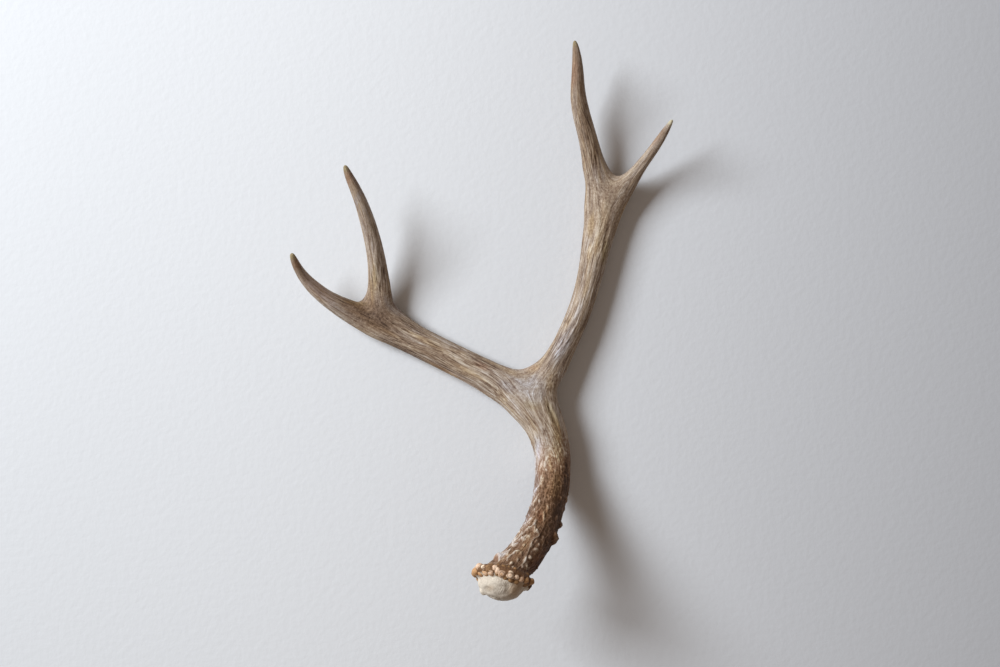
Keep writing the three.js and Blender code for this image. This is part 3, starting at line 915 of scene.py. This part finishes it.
# Tints, which a colour is multiplied by.
OCHRE_TINT = (1.05, 0.93, 0.66)
OLIVE_TINT = (0.90, 0.88, 0.65)
RED_TINT = (0.92, 0.72, 0.62)
GREY_TINT = (0.95, 1.06, 1.30)
# The pale tint is partly painted light.
BLEACH_AND_LIGHT_TINT = (1.0, 1.03, 1.12)
# The dark tint is partly painted shade.
STAIN_AND_SHADE_TINT = (0.68, 0.61, 0.54)

# Colours of the seal, of the tips, and of the darkest bone. The seal's tan in shade is
# painted shade.
SEAL_CREAM = (0.67, 0.58, 0.465)
SEAL_GREY = (0.57, 0.48, 0.385)
SEAL_TAN_IN_SHADE = (0.47, 0.315, 0.185)
HORN = (0.24, 0.15, 0.088)
TIP_HORN = (0.34, 0.26, 0.14)
TIP_PALE = (0.62, 0.54, 0.36)
DARK = (0.060, 0.034, 0.019)
CREVICE = (0.17, 0.081, 0.034)
KNOB_DEEP = (0.14, 0.062, 0.022)

# Colours from dark to pale. Each row gives where the tone begins to turn to the colour,
# where it has reached it, and the colour.
BRANCH_TONES = [
    [0.0, 0.25, (0.165, 0.102, 0.062)],
    [0.2, 0.48, (0.30, 0.207, 0.139)],
    [0.45, 0.75, (0.46, 0.352, 0.25)],
    [0.7, 1.05, (0.66, 0.56, 0.445)],
]
CHOCOLATE = (0.086, 0.038, 0.013)
BARK_TONES = [
    [0.0, 0.36, (0.25, 0.140, 0.079)],
    [0.4, 0.80, (0.50, 0.39, 0.285)],
    [0.80, 1.1, (0.70, 0.60, 0.49)],
]
KNOB_TONES = [
    [0.0, 0.35, (0.31, 0.165, 0.068)],
    [0.35, 0.6, (0.58, 0.32, 0.145)],
    [0.6, 0.8, (0.74, 0.50, 0.34)],
    [0.8, 1.0, (0.82, 0.66, 0.48)],
]


class Socket:
    """A shader socket that takes part in sums and products."""

    def __init__(self, tree, output):
        self.tree, self.output = tree, output

    def node(self, kind, settings, inputs, output=0):
        """A new node: its settings first, then the values or links of its sockets."""
        made = self.tree.nodes.new("ShaderNode" + kind)
        for name, value in settings.items():
            setattr(made, name, value)
        for key, value in inputs.items():
            if isinstance(value, Socket):
                self.tree.links.new(value.output, made.inputs[key])
            else:
                made.inputs[key].default_value = value
        return Socket(self.tree, made.outputs[output])

    def math(self, operation, first, second):
        return self.node("Math", {"operation": operation}, {0: first, 1: second})

    def __add__(self, other):
        return self.math("ADD", self, other)

    def __radd__(self, other):
        return self.math("ADD", other, self)

    def __sub__(self, other):
        return self.math("SUBTRACT", self, other)

    def __rsub__(self, other):
        return self.math("SUBTRACT", other, self)

    def __mul__(self, other):
        return self.math("MULTIPLY", self, other)

    def __rmul__(self, other):
        return self.math("MULTIPLY", other, self)

    def attribute(self, name, output="Fac"):
        return self.node("Attribute", {"attribute_name": name}, {}, output)

    def stretch(self, across, along):
        """The same vector in units of `across` and `along`, in mm."""
        factors = (1 / across, 1 / across, 1 / along)
        return self.node("VectorMath", {"operation": "MULTIPLY"}, {0: self, 1: factors})

    def distance(self, point):
        return self.node("VectorMath", {"operation": "DISTANCE"}, {0: self, 1: tuple(point)}, "Value")

    def noise(self, detail, roughness=0.55, distortion=0.0):
        inputs = {"Vector": self, "Scale": 1.0, "Detail": detail, "Roughness": roughness}
        inputs["Distortion"] = distortion
        return self.node("TexNoise", {}, inputs, "Fac")

    def step(self, low, high):
        inputs = {"Value": self, "From Min": low, "From Max": high}
        return self.node("MapRange", {"interpolation_type": "SMOOTHSTEP"}, inputs)

    def line(self, width):
        """1 where the value passes 0, and 0 from `width` on both sides of it."""
        return 1 - self.node("Math", {"operation": "ABSOLUTE"}, {0: self}).step(0, width)

    def mix(self, first, second):
        """From the first colour to the second by this share."""
        first, second = ((*c, 1) if isinstance(c, tuple) else c for c in (first, second))
        return self.node("Mix", {"data_type": "RGBA"}, {0: self, 6: first, 7: second}, 2)

    def tint(self, color, factors):
        """The colour times the factors, by this share."""
        settings = {"data_type": "RGBA", "blend_type": "MULTIPLY"}
        return self.node("Mix", settings, {0: self, 6: color, 7: (*factors, 1)}, 2)

    def shades(self, darkest, rows):
        """From the darkest colour through the others as this tone rises."""
        color = darkest
        for low, high, paler in rows:
            color = self.step(low, high).mix(color, paler)
        return color


bone = bpy.data.materials.new("bone")
bone.use_nodes = True
tree = bone.node_tree
surface = tree.nodes["Principled BSDF"]
start = Socket(tree, None)

lengthwise = start.attribute("bent", "Vector")
skin_place = start.node("TexCoord", {}, {}, "Object").stretch(MM, MM)
fine = lengthwise.stretch(0.8, 16).noise(3, 0.6, 0.2)
thin = lengthwise.stretch(0.5, 5).noise(2)
crack = (lengthwise.stretch(1.6, 40).noise(2) - 0.5).line(0.075)
vein = (lengthwise.stretch(2.0, 26).noise(2) - 0.5).line(0.075)
band = lengthwise.stretch(4.0, 60).noise(2)
blotch = lengthwise.stretch(9.0, 26).noise(3)
mottle = skin_place.stretch(1.8, 1.8).noise(3)
speck = skin_place.stretch(0.7, 0.7).noise(2)
dash = lengthwise.stretch(0.7, 6.5).noise(3)
gold = lengthwise.stretch(4.5, 40).noise(2)

seal, burr, rough, fork, pearl, crest, knob, knob_tone, tip = (
    start.attribute(name)
    for name in ("seal", "burr", "rough", "fork", "pearl", "crest", "knob", "knob_tone", "tip")
)
web, small_web, streak = (start.attribute(name) for name in ("web", "small_web", "streak"))
bleach_and_light, ochre, olive, stain_and_shade, red, grey, tan_and_shade = (
    start.attribute(name) for name in ("bleach_and_light", "ochre", "olive", "stain_and_shade", "red", "grey", "tan_and_shade")
)
to_right = lengthwise.node("SeparateXYZ", {}, {0: lengthwise}, 0)
growth = lengthwise.node("SeparateXYZ", {}, {0: lengthwise}, 2)

# The branches: dark and pale streaks along the grain, and spots instead at the forks.
streaky = (fine - 0.5) * 1.5 + (thin - 0.5) * 0.7 + (band - 0.5) * 0.6 + (streak - 0.4) * 0.12
streaky = streaky - crack * 0.30 + vein * 0.18
spotty = (mottle - 0.5) * 1.1 + (speck - 0.5) * 0.9
horny = 1 - tip.step(15, 58)
tone = 0.57 + streaky * (1 - fork * 0.6) * (1 - horny * 0.3) + spotty * (0.35 + fork * 0.45)
tone = tone + (1 - growth.step(165, 200)) * 0.10
# The pale patches lighten the tone and the dark ones darken it: partly bleached bone and stains, partly
# painted light and painted shade.
tone = tone + bleach_and_light * 0.18 - stain_and_shade * 0.16 + crest * 0.25 + (blotch - 0.5) * 0.4
dashes = dash.step(0.58, 0.70) * (1 - fork * 0.8) * 0.35
plain = dashes.mix(tone.shades(DARK, BRANCH_TONES), DARK)

# The beam: pale ridges and pearls on brown, and paler bone further up, first on the left,
# which is painted light on the side the window lights.
upper = growth.step(*COARSE_BARK_FADES)
netting = web.line(0.20) * (0.44 - upper * 0.24) + small_web.line(0.18) * (0.18 + upper * 0.14)
lit_side_growth = growth - to_right * 0.7
bark_tone = 0.21 - growth.step(15, 45) * 0.09 + lit_side_growth.step(82, 130) * 0.38 + pearl * 0.55
bark_tone = bark_tone + lit_side_growth.step(104, 148) * 0.26 + (speck - 0.5) * 0.5
bark_tone = bark_tone + netting * (0.8 + bleach_and_light * 0.7 - stain_and_shade * 0.5) + bleach_and_light * 0.36 - stain_and_shade * 0.10
bark_tone = bark_tone + (fine - 0.5) * 0.9 + (thin - 0.5) * 0.55 + (blotch - 0.5) * 0.7
bark_tone = bark_tone + (mottle - 0.5) * (0.8 + ochre * 0.9) - crack * upper * 0.16
bark = bark_tone.shades(CHOCOLATE, BARK_TONES)
# The bark colour reaches further up the right side: painted shade on the side away from the window.
color = (rough * (1 + to_right * 0.022)).step(0.0, 0.8).mix(plain, bark)

# Stains of weather and plants, with painted light in the pale tint and painted shade in
# the dark tint, and the rubbed tips.
color = (gold.step(0.52, 0.72) * 0.45).tint(color, OCHRE_TINT)
color = ((1 - gold.step(0.32, 0.56)) * 0.35).tint(color, GREY_TINT)
for stain, factors in (
    (ochre * 0.8, OCHRE_TINT),
    (olive, OLIVE_TINT),
    (bleach_and_light, BLEACH_AND_LIGHT_TINT),
    (red, RED_TINT),
    (grey, GREY_TINT),
    (stain_and_shade, STAIN_AND_SHADE_TINT),
):
    color = stain.tint(color, factors)
near_tip = 1 - tip.step(3, 26)
color = (near_tip * (0.45 - bleach_and_light * 0.35)).mix(color, HORN)
color = (1 - tip.step(0.5, 5)).mix(color, bleach_and_light.mix(TIP_HORN, TIP_PALE))

# The knobs: dark in the crevices between them, and on some a dark ring, painted shade of a
# crease that the mesh doesn't have, and a dark middle.
knob_color = (knob_tone + (mottle - 0.5) * 0.7).shades(KNOB_DEEP, KNOB_TONES)
for angle, shift, radius, far, _ in (knobs[i] for i in RINGED_KNOBS):
    outwards = left_of_burr * math.cos(angle) + top_of_burr * math.sin(angle)
    middle = BURR_CENTRE + seal_axis * shift + far * outwards + np.array([0, 0, 0.9 * radius])
    away = skin_place.distance(middle) * (1 / radius)
    # The dark ring is painted shade of a crease that the mesh doesn't have.
    crease_shade = away.step(0.35, 0.55) * (1 - away.step(0.62, 0.85))
    knob_color = (crease_shade * 0.7).mix(knob_color, KNOB_DEEP)
    knob_color = ((1 - away.step(0.0, 0.22)) * 0.5).mix(knob_color, KNOB_DEEP)
knob_color = (knob + (speck - 0.5) * 1.0).step(0.1, 0.7).mix(CREVICE, knob_color)
color = burr.mix(color, knob_color)

# The seal: chalky, with grey pores, and tan with painted shade on its right side, in a
# dimple and underneath.
porous = ((speck - 0.5) * 1.6 + (blotch - 0.5) * 1.6 + 0.72).step(0.1, 0.9)
seal_color = (tan_and_shade * 0.75).mix(porous.mix(SEAL_GREY, SEAL_CREAM), SEAL_TAN_IN_SHADE)
color = seal.mix(color, seal_color)
tree.links.new(color.output, surface.inputs["Base Color"])

gloss = 0.68 - near_tip * 0.16 - (fine - 0.5) * 0.3 + seal * 0.08
tree.links.new(gloss.output, surface.inputs["Roughness"])
surface.inputs["Specular IOR Level"].default_value = 0.3

relief = fine * 0.8 + thin * 0.5 + dash * 0.35 + speck * 0.18
bump = start.node("Bump", {}, {"Strength": 0.7, "Distance": 0.0009, "Height": relief})
tree.links.new(bump.output, surface.inputs["Normal"])
smooth.materials.append(bone)

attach(antler, "root")
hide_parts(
    "lower_beam",
    "front_branch",
    "front_lower_tine",
    "front_upper_tine",
    "rear_branch",
    "rear_long_tine",
    "rear_short_tine",
)
